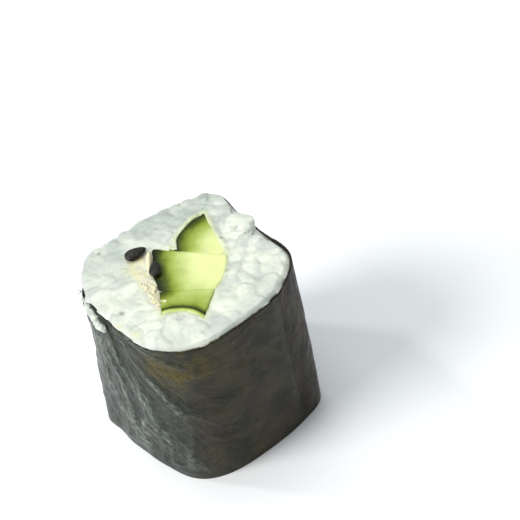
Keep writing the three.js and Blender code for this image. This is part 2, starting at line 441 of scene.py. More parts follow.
# %% The sheet's creases
# Each fan: the point that it spreads from, as a direction in degrees and a height in mm, where
# round the roll it shows, and how deep it is in mm.
FANS = [
    {"at": 167, "height": 31, "shows": (112, 304), "deep": 0.42},
    {"at": 322, "height": 36, "shows": (292, 395), "deep": 0.26},
    {"at": 72, "height": -5, "shows": (18, 124), "deep": 0.26},
]
FAN_RADIUS = 9.0  # mm from the point at which the distances between creases are given
FAN_EDGE = 16  # degrees over which a fan fades out
# Sets of folds within a fan: distance between folds and length in mm, and share of the depth.
FOLDS = [(2.4, 13, 0.50), (1.15, 8, 0.42), (0.6, 5, 0.20)]
DEEPEST = 0.2  # mm: no crease goes deeper, for there is rice behind the sheet
HIGHEST = 0.24  # mm: higher ridges are folded flat
# How strongly the sheet is creased at some directions, in degrees.
CREASED_AT = (90, 140, 168, 205, 228, 255, 285, 318, 335, 380, 450)
CREASED = (0.5, 0.8, 1.1, 1.15, 0.9, 0.45, 0.42, 0.95, 0.6, 0.6, 0.5)


def wall_run(degrees):
    """Length along the wall from direction 0 to this one, in mm."""
    turns = np.floor(degrees / 360)
    return (np.interp(np.radians(degrees - 360 * turns), round_angles, run_round) + turns * girth) / MM


def fan_place(fan, degrees, height):
    """Where a point lies in a fan: how far across its creases, and how far down them, in mm."""
    aside = wall_run(degrees) - wall_run(fan["at"])
    below = fan["height"] - height
    across = FAN_RADIUS * math.atan2(aside, abs(below))
    return across, math.hypot(aside, below)


def crease(degrees, height):
    """The sheet's relief at a place on the wall: its height in mm, the place in the stronger fan,
    and by how much that fan is the stronger."""
    degrees = (degrees - 90) % 360 + 90
    relief = 0.0
    place = (0.0, 0.0, 0.0)
    strength = 0.0
    second = 0.0
    for number, fan in enumerate(FANS):
        first, last = fan["shows"]
        turned = degrees - 360 if degrees - 360 > first else degrees
        shows = ease(turned, first, first + FAN_EDGE) * (1 - ease(turned, last - FAN_EDGE, last))
        if shows == 0:
            continue
        across, down = fan_place(fan, turned, height)
        sway = noise.noise(Vector((wall_run(turned) / 6, height / 6, 5.0 + number)))
        amount = shows * float(np.interp(degrees, CREASED_AT, CREASED))
        for apart, long, share in FOLDS:
            spot = Vector(((across + 1.1 * sway) / apart, down / long, number * 7.3 + apart))
            ridge = 0.5 - 2.1 * abs(noise.noise(spot)) + 0.5 * noise.noise(spot * 0.6)
            relief += amount * fan["deep"] * share * ridge
        if amount > strength:
            place = (across + 0.6 * sway, down, number * 20.0)
            second = strength
            strength = amount
        else:
            second = max(second, amount)
    dent = noise.noise(Vector((wall_run(degrees) / 9, height / 9, 2.5)))
    return min(max(relief + 0.10 * dent, -DEEPEST), HIGHEST), place, strength - second


print("fans of creases:", len(FANS), "with", len(FOLDS), "sets of folds each")

# %% Wrap the sheet
ROUND_STEPS = 546
UP_STEPS = 90
CLIMB = math.radians(14)  # how far round the sheet takes to climb over its own start
MELT = math.radians(17)  # the outer end clings to the layer below, and sinks into it over this much
LEAN = math.radians(10)  # the outer end is cut askew: at the foot it stops this much earlier
FLARE = 0.48 * MM  # rice pushes the outer end this far off at its top
FLARE_HEIGHT = 7 * MM
RAISED = 0.5 * MM  # the sheet stands this much higher behind the rice at its right corner
RAISED_AT = 337  # in degrees
RAISED_WIDTH = 11
RAGGED = 0.16 * MM  # how uneven the sheet's upper edge is
over = LAP_START + 2 * math.pi

bm = bmesh.new()
bmesh.ops.create_grid(bm, x_segments=ROUND_STEPS, y_segments=UP_STEPS, size=0.5, calc_uvs=True)
strand = []
thickness_share = []
crease_strengths = []
ridges = []
for v in bm.verts:
    share_round = v.co.x + 0.5
    share_up = v.co.y + 0.5
    end = LAP_END + 2 * math.pi - LEAN * (1 - share_up)
    angle = LAP_START + share_round * (end - LAP_START)
    degrees = math.degrees(angle)
    melted = ease(angle, end - MELT, end)
    ragged = RAGGED * noise.fractal(Vector((angle * 14, 0.5, 9.0)), 0.8, 2, 3)
    top = NORI_TOP + ragged - LAP_DROP * ease(angle, over - 0.1, over + CLIMB)
    top += RAISED * fade(degrees - RAISED_AT, RAISED_WIDTH)
    z = share_up * top
    layer = 0.5 + ease(angle, over, over + CLIMB) - melted
    bulge = math.sin(math.pi * np.clip((angle - over) / (LAP_END + 2 * math.pi - over), 0, 1))
    flare = FLARE * bulge * ease(z, top - FLARE_HEIGHT, top)
    relief, place, strength = crease(degrees, z / MM)
    edge_fade = ease(z, 0, 2 * MM) * (1 - 0.6 * ease(z, top - 2 * MM, top))
    strand.append(place)
    thickness_share.append(1 - 0.88 * melted)
    crease_strengths.append(strength * ease(z, 0, 2.5 * MM))
    ridges.append((relief + DEEPEST) / (HIGHEST + DEEPEST))
    v.co = plan_point(angle, layer * NORI, z)
    v.co += Vector((v.co.x, v.co.y, 0)).normalized() * (relief * edge_fade * MM + flare)

nori = object_from(bm, "nori_sheet")
points = read_points(nori.data)
write_points(nori.data, settle(points))
sheet_length = (over + LAP_END - 2 * LAP_START) / (2 * math.pi) * girth
print("sheet, in mm: about", round(sheet_length / MM), "by", round(NORI_TOP / MM))

# %% Where the sheet is thin
# The sheet is browner where it is stretched over wet rice at the front corner, and a little
# wherever the pressed weed is sparse.
degrees = np.degrees(polar(points)[0]) % 360
patches = noise_at(points, 300, (4, 1, 7))
sparse = noise_at(points, 700, (2, 8, 3))
FRONT_CORNER = 228
near_corner = fade(degrees - FRONT_CORNER, 23) * fade(points[:, 2] - 25.5 * MM, 4.8 * MM)
thin = near_corner * (0.75 + 0.9 * patches + 0.9 * sparse) + 0.4 * np.clip(patches - 0.15, 0, 1)
# Painted sheen: the side round the lap, from about 95 to 246 degrees, is painted lighter and bluer.
painted_sheen_side = ease(degrees, 95, 140) * (1 - ease(degrees, 212, 246))
purple_side = ease(degrees, 285, 312) * (1 - ease(degrees, 335, 355))
nori.data.attributes.new("strand", "FLOAT_VECTOR", "POINT")
nori.data.attributes["strand"].data.foreach_set("vector", np.array(strand, dtype=np.float32).ravel())
paint(nori.data, "thin", np.clip(thin, 0, 1))
paint(nori.data, "creased", crease_strengths)
paint(nori.data, "ridge", ridges)
paint(nori.data, "sheen_side", painted_sheen_side)
paint(nori.data, "purple", purple_side)
print("share of the sheet that is thin:", round(float((thin > 0.3).mean()), 3))

# %% [markdown]
# The sheet gets its thickness from a Solidify modifier, which keeps the creases on both faces,
# and which a vertex group thins towards the outer end. Its colour is nearly black, between olive
# and purple. The side round the lap is painted lighter and bluer, as a painted sheen, and the
# ridges of strong creases are painted lighter, silvery there and olive elsewhere, as painted
# highlights. What makes it look like nori is its surface: strands that follow the creases, a fine
# grain of pressed flakes, and a dull damp shine.

# %% Nori finish
group = nori.vertex_groups.new(name="thickness")
for index, share in enumerate(thickness_share):
    group.add([index], float(share), "REPLACE")
wall = nori.modifiers.new("thickness", "SOLIDIFY")
wall.thickness = NORI
wall.offset = 0
wall.vertex_group = "thickness"
apply_modifiers(nori)
write_points(nori.data, np.clip(read_points(nori.data), *np.array(cad_box)))
smooth_shaded(nori)

nori_finish, tree, shader = new_finish("damp nori")
coords = own_place(tree)
flakes = noise_over(tree, coords, 900, detail=6, roughness=0.65)
blotches = noise_over(tree, coords, 240, detail=5, roughness=0.6)
grain = noise_over(tree, coords, 3000, detail=3, roughness=0.7)
run = node(tree, "ShaderNodeAttribute", attribute_name="strand").outputs["Vector"]
strands = noise_over(tree, run, 1.0, detail=6, roughness=0.72, stretch=(2.4, 0.8, 1))
pleats = noise_over(tree, run, 1.0, detail=3, roughness=0.55, stretch=(1.1, 0.15, 1))
creased = painted(tree, "creased")
on_ridge = remap(tree, painted(tree, "ridge"), 0.32, 0.82)
scales = noise_over(tree, coords, 2300, detail=4, roughness=0.6)
broken = times(tree, remap(tree, strands, 0.40, 0.60), remap(tree, scales, 0.40, 0.60, 0.45, 1))
silver = times(tree, on_ridge, broken)
blotchy = remap(tree, blotches, 0.35, 0.68)
olive = blend_colour(tree, blotchy, (0.010, 0.008, 0.002), (0.037, 0.030, 0.008))
purple = blend_colour(tree, blotchy, (0.013, 0.008, 0.005), (0.041, 0.027, 0.019))
# The lighter, bluer colour of the side round the lap is a painted sheen.
sheen_side_colour = blend_colour(tree, remap(tree, strands, 0.36, 0.66), (0.010, 0.013, 0.009), (0.052, 0.065, 0.054))
cast = noise_over(tree, coords, 130, detail=3)
purplish = calculate(tree, "MAXIMUM", painted(tree, "purple"), remap(tree, cast, 0.44, 0.62, 0, 0.8))
front = blend_colour(tree, purplish, olive, purple)
sheen_side = painted(tree, "sheen_side")
dark = blend_colour(tree, sheen_side, front, sheen_side_colour)
# Painted highlights: ridges of strong creases are painted lighter, silvery on the side round the lap and
# olive elsewhere.
ridge_highlight_share = remap(tree, sheen_side, 0, 1, 0.35, 0.95)
ridge_highlight = times(tree, silver, times(tree, creased, ridge_highlight_share))
ridge_highlight_colour = blend_colour(tree, sheen_side, (0.135, 0.122, 0.080), (0.185, 0.220, 0.186))
raised = blend_colour(tree, ridge_highlight, dark, ridge_highlight_colour)
flecked = blend_colour(tree, remap(tree, flakes, 0.56, 0.76, 0, 0.7), raised, (0.050, 0.043, 0.024))
brown = blend_colour(tree, remap(tree, flakes, 0.3, 0.7), (0.034, 0.028, 0.004), (0.112, 0.088, 0.018))
tree.links.new(blend_colour(tree, painted(tree, "thin"), flecked, brown), shader.inputs["Base Color"])
tree.links.new(remap(tree, flakes, 0.3, 0.7, 0.26, 0.46), shader.inputs["Roughness"])
shader.inputs["Specular IOR Level"].default_value = 0.24
pleated = calculate(tree, "ADD", times(tree, pleats, 3.0), strands)
pleat_height = times(tree, pleated, calculate(tree, "ADD", creased, 0.04))
coarse = bump(tree, pleat_height, 0.36 * MM, 1.0)
flaked = bump(tree, flakes, 0.11 * MM, 0.8, under=coarse)
tree.links.new(bump(tree, grain, 0.035 * MM, 0.8, under=flaked), shader.inputs["Normal"])
nori.data.materials.append(nori_finish)
joins_roll(nori, "nori")

# %% [markdown]
# ## Cucumber
#
# The filling is three sticks cut lengthwise from one cucumber: a wedge, a square stick and a
# thinner strip, each with dark skin along one side. They run the whole height of the roll, so
# each starts from a copy of its plain solid. A voxel remesh rounds the knife's sharp edges and
# gives enough points for the soft swell of wet flesh. The sticks press against each other, so
# each swells a little on all sides.

# %% The sticks' shapes
STICK_VOXEL = 0.17 * MM
STICK_SWELL = 0.33 * MM
STICK_LIFT = {"wedge": 0.0, "square": 0.0, "strip": 0.13 * MM}
# The curve of the skin across each stick, by its control points in mm from the top's middle.
SKINS = {
    "wedge": [(2.1, 4.9), (2.8, 7.2), (5.3, 8.5), (10.2, 8.3)],
    "square": [(-4.8, -0.2), (-3.6, 3.6), (-0.4, 7.5)],
    "strip": [(-3.0, -9.5), (-3.0, -5.7), (-7.0, -3.95)],
}


def curve_points(controls, count=40):
    """Points on a Bezier curve: neighbouring controls are blended until one point is left."""
    made = []
    for t in np.linspace(0, 1, count):
        rest = np.array(controls, dtype=float)
        while len(rest) > 1:
            rest = rest[:-1] * (1 - t) + rest[1:] * t
        made.append(rest[0])
    return np.array(made)


# How fast the flesh pales differs: at these depths under its own skin, in mm, the wedge or the
# strip looks as the square does at those. The strip and the square were cut apart late, so both
# of them pale away from either skin. Outside the strip's skin the flesh is painted pale again:
# partly a film there, and partly a painted highlight along the lit edge of the rice beside it.
WEDGE_DEPTHS = (0.0, 0.3, 0.6, 1.0, 1.5, 2.0, 2.5, 3.0, 4.0, 5.0, 7.0)
WEDGE_LOOKS = (0.2, 0.5, 0.95, 1.45, 1.9, 2.35, 2.8, 3.2, 4.4, 5.6, 7.0)
STRIP_DEPTHS = (-0.5, -0.2, 0.0, 0.15, 0.3, 0.6, 1.0, 1.5, 2.0, 2.5, 3.0, 4.0, 5.0, 7.0)
STRIP_LOOKS = (5.8, 2.4, 0.1, 0.4, 1.3, 2.1, 2.6, 2.9, 3.1, 3.3, 3.5, 4.2, 5.6, 7.5)
STRIP_OUTWARD = np.array((-0.7, -0.7))


def depth_under(upright, name):
    """How far points on the plan, in mm, are from a stick's skin."""
    skin = curve_points(SKINS[name])
    return np.min(np.linalg.norm(upright[:, None, :] - skin[None, :, :], axis=2), axis=1)


def depth_in_strip(upright):
    """The same for the strip, and below zero outside its skin."""
    skin = curve_points(SKINS["strip"])
    away = upright[:, None, :] - skin[None, :, :]
    distance = np.linalg.norm(away, axis=2)
    nearest = np.argmin(distance, axis=1)
    rows = np.arange(len(upright))
    outside = away[rows, nearest] @ STRIP_OUTWARD > 0
    return np.where(outside, -1, 1) * distance[rows, nearest]


def cucumber_stick(name):
    stick = object_from(stick_solid(name), "cucumber_" + name + "_flesh")
    stick.data.materials.clear()
    fuse(stick, STICK_VOXEL, 2)

    points = read_points(stick.data)
    upright = unsettle(points)[:, :2] / MM
    if name == "wedge":
        depth = np.interp(depth_under(upright, "wedge"), WEDGE_DEPTHS, WEDGE_LOOKS)
    else:
        by_strip = np.interp(depth_in_strip(upright), STRIP_DEPTHS, STRIP_LOOKS)
        depth = np.minimum(depth_under(upright, "square"), by_strip)
    paint(stick.data, "depth", depth)

    top = points[:, 2].max()
    normals = np.array([v.normal for v in stick.data.vertices])
    swell = noise_at(points, 380)
    points[:, :2] += normals[:, :2] * (STICK_SWELL + 0.05 * MM * swell[:, None])
    upper = ease(points[:, 2], top - 1 * MM, top - 0.2 * MM)
    points[:, 2] += upper * (0.12 * MM * (swell - 0.3) + STICK_LIFT[name])
    points[:, 2] = np.clip(points[:, 2], 0, None)
    write_points(stick.data, points)
    return smooth_shaded(stick)


sticks = {name: cucumber_stick(name) for name in SKINS}
print("sticks:", {name: len(stick.data.vertices) for name, stick in sticks.items()}, "points")

# %% [markdown]
# Cucumber flesh goes from a nearly black skin through green to pale yellow within 6 mm. Every
# point of a stick knows its depth under the skin, so one finish does for all three: a ramp of
# colours down that depth, made uneven by noise, with fine wet pores.

# %% Cucumber finish
# Depth under the skin in mm, and the flesh's colour there.
FLESH = [
    (0.00, (0.008, 0.013, 0.002)),
    (0.45, (0.016, 0.026, 0.002)),
    (1.00, (0.045, 0.068, 0.003)),
    (1.50, (0.095, 0.130, 0.006)),
    (2.00, (0.180, 0.235, 0.020)),
    (2.60, (0.280, 0.355, 0.050)),
    (3.30, (0.370, 0.455, 0.100)),
    (4.30, (0.500, 0.580, 0.190)),
    (5.60, (0.640, 0.700, 0.295)),
    (7.00, (0.730, 0.775, 0.345)),
]
FLESH_DEPTH = FLESH[-1][0]


def cucumber_finish():
    """Flesh that pales with depth."""
    finish, tree, shader = new_finish("cucumber flesh")
    coords = own_place(tree)
    mottle = noise_over(tree, coords, 520, detail=3)
    depth = painted(tree, "depth")
    uneven = remap(tree, mottle, 0.25, 0.75, -0.35, 0.35)
    fade_in = remap(tree, depth, 0.2, 1.6)
    deep = calculate(tree, "ADD", depth, times(tree, uneven, fade_in))
    ramp = node(tree, "ShaderNodeValToRGB")
    ramp.color_ramp.elements[0].color = (*FLESH[0][1], 1)
    ramp.color_ramp.elements[1].color = (*FLESH[-1][1], 1)
    for level, colour in FLESH[1:-1]:
        ramp.color_ramp.elements.new(level / FLESH_DEPTH).color = (*colour, 1)
    tree.links.new(calculate(tree, "DIVIDE", deep, FLESH_DEPTH), ramp.inputs["Fac"])
    tree.links.new(ramp.outputs["Color"], shader.inputs["Base Color"])
    shader.inputs["Subsurface Weight"].default_value = 0.25
    shader.inputs["Subsurface Radius"].default_value = (0.8, 1.0, 0.35)
    shader.inputs["Subsurface Scale"].default_value = 0.35 * MM
    shader.inputs["Roughness"].default_value = 0.42
    shader.inputs["Specular IOR Level"].default_value = 0.16
    pores = noise_over(tree, coords, 2600, detail=2)
    soft = bump(tree, mottle, 0.10 * MM, 0.5)
    tree.links.new(bump(tree, pores, 0.02 * MM, 0.6, under=soft), shader.inputs["Normal"])
    return finish


flesh_finish = cucumber_finish()
for name, stick in sticks.items():
    stick.data.materials.append(flesh_finish)
    joins_roll(stick, "cucumber_" + name)

# %% [markdown]
# ## Rice
#
# Cooked sushi rice is plump, sticky and slightly see-through: grains are pressed together until
# their sides merge, and the knife shaves the tops of those in its way. So grains are made one by
# one, crowded over both cut faces, and joined by a voxel remesh that fuses them where they
# touch. Squashing what stands above the knife's level gives the shaved look. A plain core fills
# the middle, where no grain shows.

# %% One grain
GRAIN_LENGTH = 6.0 * MM
GRAIN_WIDTH = 2.8 * MM
GRAIN_DEPTH = 2.4 * MM


def add_grain(bm, place, turn, size, rng):
    """Adds one plump, slightly bent grain, and returns what maps it back to a unit ball."""
    stretch = Matrix.Diagonal(Vector(size) * rng.uniform(0.46, 0.53))
    ball = bmesh.ops.create_icosphere(bm, subdivisions=3, radius=1)["verts"]
    bend = rng.uniform(-0.10, 0.10)
    taper = rng.uniform(-0.12, 0.12)
    turn = turn.to_3x3()
    for v in ball:
        along, side, high = v.co
        along = math.copysign(abs(along) ** 0.85, along)
        narrow = 1 + taper * along
        shaped = Vector((along, side * narrow + bend * along * along, high * narrow))
        v.co = turn @ (stretch @ shaped) + place
    return place, (turn @ stretch).inverted()


def spread_out(rng, count, area, clear_of, tries=14):
    """Evenly crowded random places: each is the loneliest of a few tries."""
    chosen = []
    while len(chosen) < count:
        best = None
        best_gap = -1.0
        for _ in range(tries):
            x = rng.uniform(-area, area)
            y = rng.uniform(-area, area)
            if not clear_of(x, y):
                continue
            gap = min((math.hypot(x - a, y - b) for a, b in chosen), default=area)
            if gap > best_gap:
                best = (x, y)
                best_gap = gap
        if best:
            chosen.append(best)
    return chosen


print("a grain is", [round(s / MM, 1) for s in (GRAIN_LENGTH, GRAIN_WIDTH, GRAIN_DEPTH)], "mm")

# %% [markdown]
# The sticks keep the rice out of the middle. A copy of each solid, stood back upright, tells
# where they are, and later cuts their hole. Its sides are moved in unevenly, so that rice
# overlaps the edges of the flesh here and there.

# %% Where the sticks keep the rice out
CUTTER_WIDTHS = {"wedge": 1.0, "square": 1.01, "strip": 1.07}
OVERLAPS = {"wedge": 0.45 * MM, "square": 0.60 * MM, "strip": 0.0}


def stick_cutter(name):
    bm = stick_solid(name)
    rims = [e for e in bm.edges if abs(e.verts[0].co.z - e.verts[1].co.z) < 0.01 * MM]
    bmesh.ops.subdivide_edges(bm, edges=rims, cuts=5, use_grid_fill=True)
    bmesh.ops.triangulate(bm, faces=bm.faces[:])
    cutter = object_from(bm, "cutter_" + name)
    points = unsettle(read_points(cutter.data))
    middle = (points.max(axis=0) + points.min(axis=0)) / 2
    inward = middle - points
    inward[:, 2] = 0
    inward /= np.linalg.norm(inward, axis=1)[:, None]
    overlap = np.array([0.5 + noise.noise(Vector((p[0] * 420, p[1] * 420, 4.0))) for p in points])
    points = middle + (points - middle) * (CUTTER_WIDTHS[name], CUTTER_WIDTHS[name], 1.3)
    points += inward * overlap[:, None] * OVERLAPS[name]
    write_points(cutter.data, points)
    return cutter


def seam_cutter(x, y, length, heading):
    """A thin upright slab over the joint of two sticks, so that no sliver of rice is left there."""
    bm = bmesh.new()
    bmesh.ops.create_cube(bm, size=1)
    bmesh.ops.scale(bm, vec=(length * MM, 0.7 * MM, 1.3 * HEIGHT), verts=bm.verts[:])
    bmesh.ops.rotate(bm, matrix=Matrix.Rotation(math.radians(heading), 3, "Z"), verts=bm.verts[:])
    bmesh.ops.translate(bm, vec=(x * MM, y * MM, HEIGHT / 2), verts=bm.verts[:])
    return object_from(bm, "cutter_seam")


cutters = [stick_cutter(name) for name in sticks]
cutters.append(seam_cutter(3.9, 2.3, 8.4, 127.7))
cutters.append(seam_cutter(-1.8, -3.3, 7.2, 137))
graph = bpy.context.evaluated_depsgraph_get()
cutter_trees = [BVHTree.FromObject(cutter, graph) for cutter in cutters]


def room_for_rice(x, y, from_wall=1.1 * MM, from_stick=0.9 * MM):
    """Whether a grain's middle can be here: inside the sheet, and off the sticks."""
    if math.hypot(x, y) > plan_radius(math.atan2(y, x)) - from_wall:
        return False
    here = Vector((x, y, HEIGHT / 2))
    for tree in cutter_trees:
        touched, normal, _, gap = tree.find_nearest(here)
        if gap < from_stick or (here - touched).dot(normal) < 0:
            return False
    return True


def stick_distance(points):
    """How far points are, seen from above, from the nearest cutter's side."""
    here = [Vector((p[0], p[1], HEIGHT / 2)) for p in points]
    return np.array([min(tree.find_nearest(p)[3] for tree in cutter_trees) for p in here])


print("cutters:", [cutter.name for cutter in cutters])

# %% [markdown]
# ## One cut face of rice
#
# Both cut faces are made the same way. The grains that matter most are listed one by one: two
# plump ones lie against the strip's skin, and one stands out over the edge. The rest are crowded
# in by a seeded draw: a ring that points out over the sheet, then a fill of grains in every
# direction.

# %% Grains for a cut face
RIM_GRAINS = 33
PLACED_GRAINS = [
    {"x": 12.9, "y": 1.9, "z": 29.6, "heading": 97, "pitch": 2, "size": 0.97},
    {"x": -7.9, "y": -7.3, "z": 29.35, "heading": 221, "pitch": -4, "size": 0.95},
    {"x": -5.9, "y": -9.6, "z": 29.30, "heading": 221, "pitch": -4, "size": 0.95},
]


def grain_turn(heading, pitch, bank):
    """Turns a grain from along X to a heading, tilted up by pitch and rolled by bank."""
    return Matrix.Rotation(heading, 4, "Z") @ Matrix.Rotation(-pitch, 4, "Y") @ Matrix.Rotation(bank, 4, "X")


def crowd_grains(bm, rng, level, way, count, rim, placed):
    """Adds the grains of one face. way is 1 for the upper face and -1 for the lower."""
    grains = []
    size = (GRAIN_LENGTH, GRAIN_WIDTH, GRAIN_DEPTH)
    for spot in placed:
        turn = grain_turn(math.radians(spot["heading"]), math.radians(spot["pitch"]), 0)
        place = Vector((spot["x"], spot["y"], spot["z"])) * MM
        plump = [side * spot["size"] for side in size]
        grains.append(add_grain(bm, place, turn, plump, rng))
    for n in range(rim):
        angle = (n + rng.uniform(-0.3, 0.3)) / rim * 2 * math.pi
        inset = GRAIN_LENGTH * rng.uniform(0.34, 0.46)
        depth = GRAIN_DEPTH / 2 + rng.uniform(-0.05, 0.45) * MM
        place = plan_point(angle, -inset, level - way * depth)
        heading = angle + rng.uniform(-0.6, 0.6)
        turn = grain_turn(heading, way * rng.uniform(-0.1, 0.25), rng.uniform(-0.6, 0.6))
        grains.append(add_grain(bm, place, turn, size, rng))
    for x, y in spread_out(rng, count, HALF_X, room_for_rice):
        depth = GRAIN_DEPTH / 2 + rng.uniform(-0.45, 0.55) * MM
        turn = grain_turn(rng.uniform(0, math.pi), rng.uniform(-0.35, 0.35), rng.uniform(-1.2, 1.2))
        grains.append(add_grain(bm, Vector((x, y, level - way * depth)), turn, size, rng))
    return grains


# %% Fuse the grains and press them into the sheet
# Directions in degrees, and how far rice stands out over the sheet there, in mm. Two gaps where
# grains came off, at 20 and 354, have a proud grain between them.
OVERHANG = [
    *[(1, 0.3), (9, 0.5), (15, 0.4), (20, -1.3), (24, -0.45), (38, -0.2), (60, -0.1)],
    *[(90, 0.1), (105, 0.3), (118, 0.6), (135, 0.8), (150, 0.7), (162, 0.3), (172, 0)],
    *[(300, 0), (315, -0.2), (325, -0.5), (340, -0.7), (350, -0.9), (354, -1.7), (357, -0.6)],
]
LOBES = 1.1  # mm: how much further a full lobe stands out
edge_lobes = [abs(noise.noise(Vector((math.cos(a) * 6, math.sin(a) * 6, 2.0)))) - 0.2 for a in round_angles]


def behind(angle):
    """1 along the back of the roll, and 0 in front."""
    return ease(np.cos(angle - math.radians(70)), -0.3, 0.3)


def overhang(angle):
    """How far rice stands out. Along the back, lobes as wide as a grain make it uneven."""
    lobes = np.interp(angle % (2 * math.pi), round_angles, edge_lobes)
    out = np.interp(np.degrees(angle) % 360, *zip(*OVERHANG), period=360)
    return (out + LOBES * behind(angle) * lobes) * MM


def press_into_sheet(points):
    """Keeps rice inside the sheet below its edge, and close to it above."""
    angle, reach = polar(points)
    inside = plan_radius(angle) - 0.03 * MM
    over = plan_radius(angle) + 0.8 * NORI + overhang(angle)
    free = np.clip((points[:, 2] - NORI_TOP - 0.02 * MM) / (0.15 * MM), 0, 1)
    allowed = inside + (over - inside) * free
    squeeze = np.minimum(1, allowed / np.maximum(reach, 1e-9))
    points[:, :2] *= squeeze[:, None]
    return points


def cut_out_sticks(heap):
    for cutter in cutters:
        hole = heap.modifiers.new("hole", "BOOLEAN")
        hole.operation = "DIFFERENCE"
        hole.solver = "MANIFOLD"
        hole.object = cutter
    return apply_modifiers(heap)


print("rice overhangs the sheet by up to", round(overhang(round_angles).max() / MM, 2), "mm")

# %% [markdown]
# A grain is painted whiter in its middle and darker at its edges, where painted shade fills the
# creases between grains, and no two are alike. To let the material show it, each point of the
# fused heap finds the grain that it belongs to. A number for that grain gives its tint, and the
# gap to the next grain tells how close a crease is.

# %% Which grain a point belongs to
# Place and width, in mm.
GREY_SPECKS = [(-6.9, 13.5, 0.35), (-11.8, 0.2, 0.5), (8.6, 1.6, 0.3), (4.9, -4.6, 0.3)]
PROUD_END = (13.4, 1.8)  # mm: the clear outer end of the grain that stands out over the edge


def paint_grains(heap, grains, rng, clearness=0.0):
    """Stores what the rice finish reads, and returns the heap's points."""
    points = read_points(heap.data)
    places = np.array([place for place, _ in grains])
    to_ball = np.array([matrix for _, matrix in grains])
    tints = np.array([rng.random() for _ in grains])
    tint = np.zeros(len(points))
    crease = np.zeros(len(points))
    for start in range(0, len(points), 4000):
        part = slice(start, start + 4000)
        offsets = points[part, None, :] - places[None, :, :]
        local = np.einsum("gij,pgj->pgi", to_ball, offsets)
        away = np.linalg.norm(local, axis=2)
        two = np.argpartition(away, 1, axis=1)[:, :2]
        rows = np.arange(len(two))
        nearest = np.where(away[rows, two[:, 0]] <= away[rows, two[:, 1]], two[:, 0], two[:, 1])
        gap = np.abs(away[rows, two[:, 0]] - away[rows, two[:, 1]])
        tint[part] = tints[nearest]
        crease[part] = np.exp(-gap / 0.10)
    paint(heap.data, "tint", tint)
    # Painted shade: the crease value darkens the rice where two grains meet.
    paint(heap.data, "crease", crease)
    wet = noise_at(points, 260, (3, 0, 5))
    # Besides random clear patches, the rice is painted greyer towards the back and the front of the face,
    # and round the proud grain's outer end.
    back, front = ease(points[:, 1], 1 * MM, 12 * MM), ease(-points[:, 1], 5 * MM, 11 * MM)
    sides = clearness + back + 0.6 * front + 0.8 * fade(plan_distance(points, *PROUD_END), 2 * MM)
    paint(heap.data, "clear", np.clip(sides + 0.9 * wet - 0.1, 0, 1))
    paint(heap.data, "juice", fade(stick_distance(points), 0.55 * MM))
    speck = np.zeros(len(points))
    for x, y, width in GREY_SPECKS:
        speck = np.maximum(speck, fade(plan_distance(points, x, y), width * MM))
    paint(heap.data, "speck", speck * (points[:, 2] > HEIGHT - 2 * MM))
    return points


# Ground white sesame colours the rice along the open side of the sticks, and in two spots near
# the edge of the sheet. Points in mm.
SESAME_TRAIL = [(-3.6, 7.4), (-5.1, 6.3), (-5.0, 4.4), (-5.4, 3.0), (-5.6, 0.4), (-6.2, -3.0)]
STAIN_SPOTS = [(-14.0, -1.6), (-12.9, -5.0)]


def paint_sesame_stain(heap, points):
    """Colours only what lies within 2 mm of the upper face."""
    reach = np.full(len(points), 1.0)
    for (ax, ay), (bx, by) in zip(SESAME_TRAIL, SESAME_TRAIL[1:]):
        start = np.array((ax, ay)) * MM
        run = np.array((bx - ax, by - ay)) * MM
        along = np.clip(((points[:, :2] - start) @ run) / (run @ run), 0, 1)
        reach = np.minimum(reach, np.linalg.norm(points[:, :2] - start - along[:, None] * run, axis=1))
    patchy = noise_at(points, 800)
    stain = fade(reach, 1.55 * MM)
    for spot in STAIN_SPOTS:
        stain = np.maximum(stain, 0.8 * fade(plan_distance(points, *spot), 0.9 * MM))
    stain = stain * np.clip(0.75 + 0.9 * patchy, 0, 1) * (points[:, 2] > HEIGHT - 2 * MM)
    paint(heap.data, "stain", stain)


def stand_in_roll(heap, grains, clearness=0.0):
    """Paints an upright heap, settles it with the roll, and returns how many points it has."""
    upright = paint_grains(heap, grains, rng, clearness)
    paint_sesame_stain(heap, upright)
    write_points(heap.data, settle(upright))
    smooth_shaded(heap)
    return len(upright)


print("sesame trail of", len(SESAME_TRAIL), "points")

# %% Upper cut face
RICE_SEED = 11
FACE_VOXEL = 0.165 * MM
SLAB = 3.6 * MM  # how deep each face's rice goes
MUSH = 0.30 * MM  # how far below the cut the starch fills the gaps between grains
STARCH_GAP = 0.05 * MM  # between the starch and the sheet
rng = random.Random(RICE_SEED)


def snug(angle):
    """Rice below the sheet's edge nearly touches the sheet."""
    return -STARCH_GAP


def starched(angle):
    """How far the starch under the rim stands out over the sheet."""
    out = float(overhang(angle))
    return -STARCH_GAP + min(out, 0) + 0.6 * max(out, 0)


bm = plan_prism(snug, HEIGHT - SLAB, NORI_TOP)
rim_bm = plan_prism(starched, HEIGHT - SLAB, HEIGHT - MUSH)
rim_mesh = bpy.data.meshes.new("starch")
rim_bm.to_mesh(rim_mesh)
rim_bm.free()
bm.from_mesh(rim_mesh)
bpy.data.meshes.remove(rim_mesh)
grains = crowd_grains(bm, rng, HEIGHT + 0.20 * MM, 1, 128, RIM_GRAINS, PLACED_GRAINS)
rice_top = fuse(object_from(bm, "rice_upper_face"), FACE_VOXEL, 7)
points = press_into_sheet(read_points(rice_top.data))
print("upper face:", len(grains), "grains")

# %% [markdown]
# The knife leaves this face nearly flat. It squashes what stands above its level, which is a
# little higher over the proud grain, and flattens the rest towards one plain. More of the grains'
# relief is left on the right and by the strip. The rice then rises a little beside the right of
# the sticks, and drops at the front rim.

